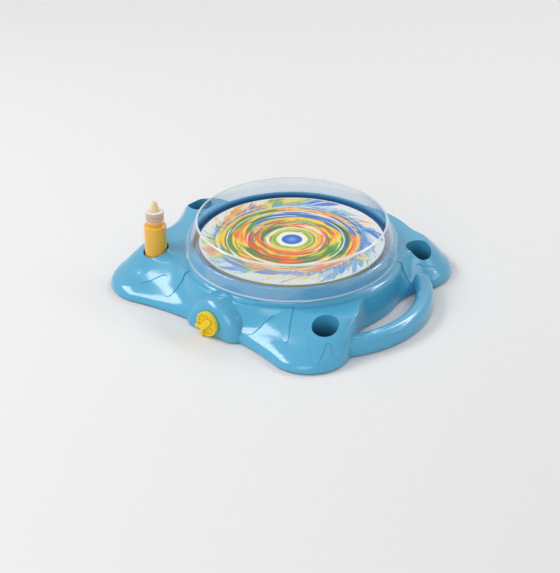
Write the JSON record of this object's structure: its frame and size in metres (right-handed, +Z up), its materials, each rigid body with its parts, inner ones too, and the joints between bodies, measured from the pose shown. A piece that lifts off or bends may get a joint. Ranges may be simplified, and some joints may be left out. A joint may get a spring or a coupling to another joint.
{
  "type": "spin art machine",
  "caption": "Moulded lobed toy base with bottle wells, carry handle and rotary knob; a motor turntable spins a paper disc inside a clear lift-off splash guard.",
  "frame": {"origin": "spindle axis of the turntable, at the height of the table the machine stands on", "axes": "+Z up along the spindle; -Y towards the control knob; +X towards the carry handle"},
  "size_m": [0.3014, 0.2631, 0.077],
  "materials": {
    "blue_shell": "polished moulded polystyrene",
    "blue_base": "fine satin moulded plastic",
    "deep_blue": "polished moulded plastic",
    "yellow_plastic": "polished moulded plastic",
    "clear_plastic": "clear polished plastic",
    "paper_card": "thin card with paint on it",
    "bush_white": "natural acetal",
    "foot_rubber": "matt",
    "screw_steel": "zinc plated",
    "cell_sleeve": "plain printed sleeve over the cell",
    "contact_metal": "nickel plated",
    "motor_steel": "plated",
    "motor_plastic": "natural nylon",
    "magnet_ferrite": "sintered",
    "lead_red": "insulated wire",
    "lead_white": "insulated wire",
    "lead_black": "insulated wire",
    "paint_yellow": "water based paint",
    "nozzle_tint": "translucent soft plastic"
  },
  "bodies": {
    "machine": {"top_housing": "blue_shell", "base_plate": "blue_base", "battery_door": "blue_base", "door_screw": "screw_steel", "housing_screws": "screw_steel", "tray_screws": "screw_steel", "clamp_screws": "screw_steel", "rubber_feet": "foot_rubber", "d_cell": "cell_sleeve", "negative_contact": "contact_metal", "positive_contact": "contact_metal", "battery_spring": "contact_metal", "motor_can": "motor_steel", "motor_end_cap": "motor_plastic", "motor_magnets": "magnet_ferrite", "motor_terminals": "contact_metal", "motor_clamp": "screw_steel", "paint_tray": "deep_blue", "switch_bracket": "bush_white", "switch_contacts": "contact_metal", "red_lead": "lead_red", "white_lead": "lead_white", "black_lead": "lead_black"},
    "spinner": {"turntable": "yellow_plastic", "drive_bush": "bush_white", "motor_rotor": "motor_steel"},
    "paper": {"paper_disc": "paper_card"},
    "guard": {"splash_guard": "clear_plastic"},
    "knob": {"control_knob": "yellow_plastic", "switch_cam": "bush_white", "knob_clip": "screw_steel"},
    "bottle": {"bottle_body": "clear_plastic", "paint_fill": "paint_yellow"},
    "bottle_top": {"nozzle_cap": "clear_plastic", "nozzle": "nozzle_tint"}
  },
  "joints": [
    {"name": "turntable_spin", "type": "hinge", "parent": "machine", "child": "spinner", "pos_m": [0, 0, 0.0458], "axis": [0, 0, 1], "continuous": true},
    {"name": "paper_lift", "type": "slide", "parent": "spinner", "child": "paper", "axis": [0, 0, 1], "range_m": [0, 0.04]},
    {"name": "guard_lift", "type": "slide", "parent": "machine", "child": "guard", "axis": [0, 0, 1], "range_m": [0, 0.04]},
    {"name": "knob_turn", "type": "hinge", "parent": "machine", "child": "knob", "pos_m": [0.0086, -0.1185, 0.0132], "axis": [0, 1, 0], "range_deg": [0, 70]},
    {"name": "bottle_lift", "type": "slide", "parent": "machine", "child": "bottle", "axis": [0, 0, 1], "range_m": [0, 0.04]},
    {"name": "cap_lift", "type": "slide", "parent": "bottle", "child": "bottle_top", "axis": [0, 0, 1], "range_m": [0, 0.018]}
  ]
}
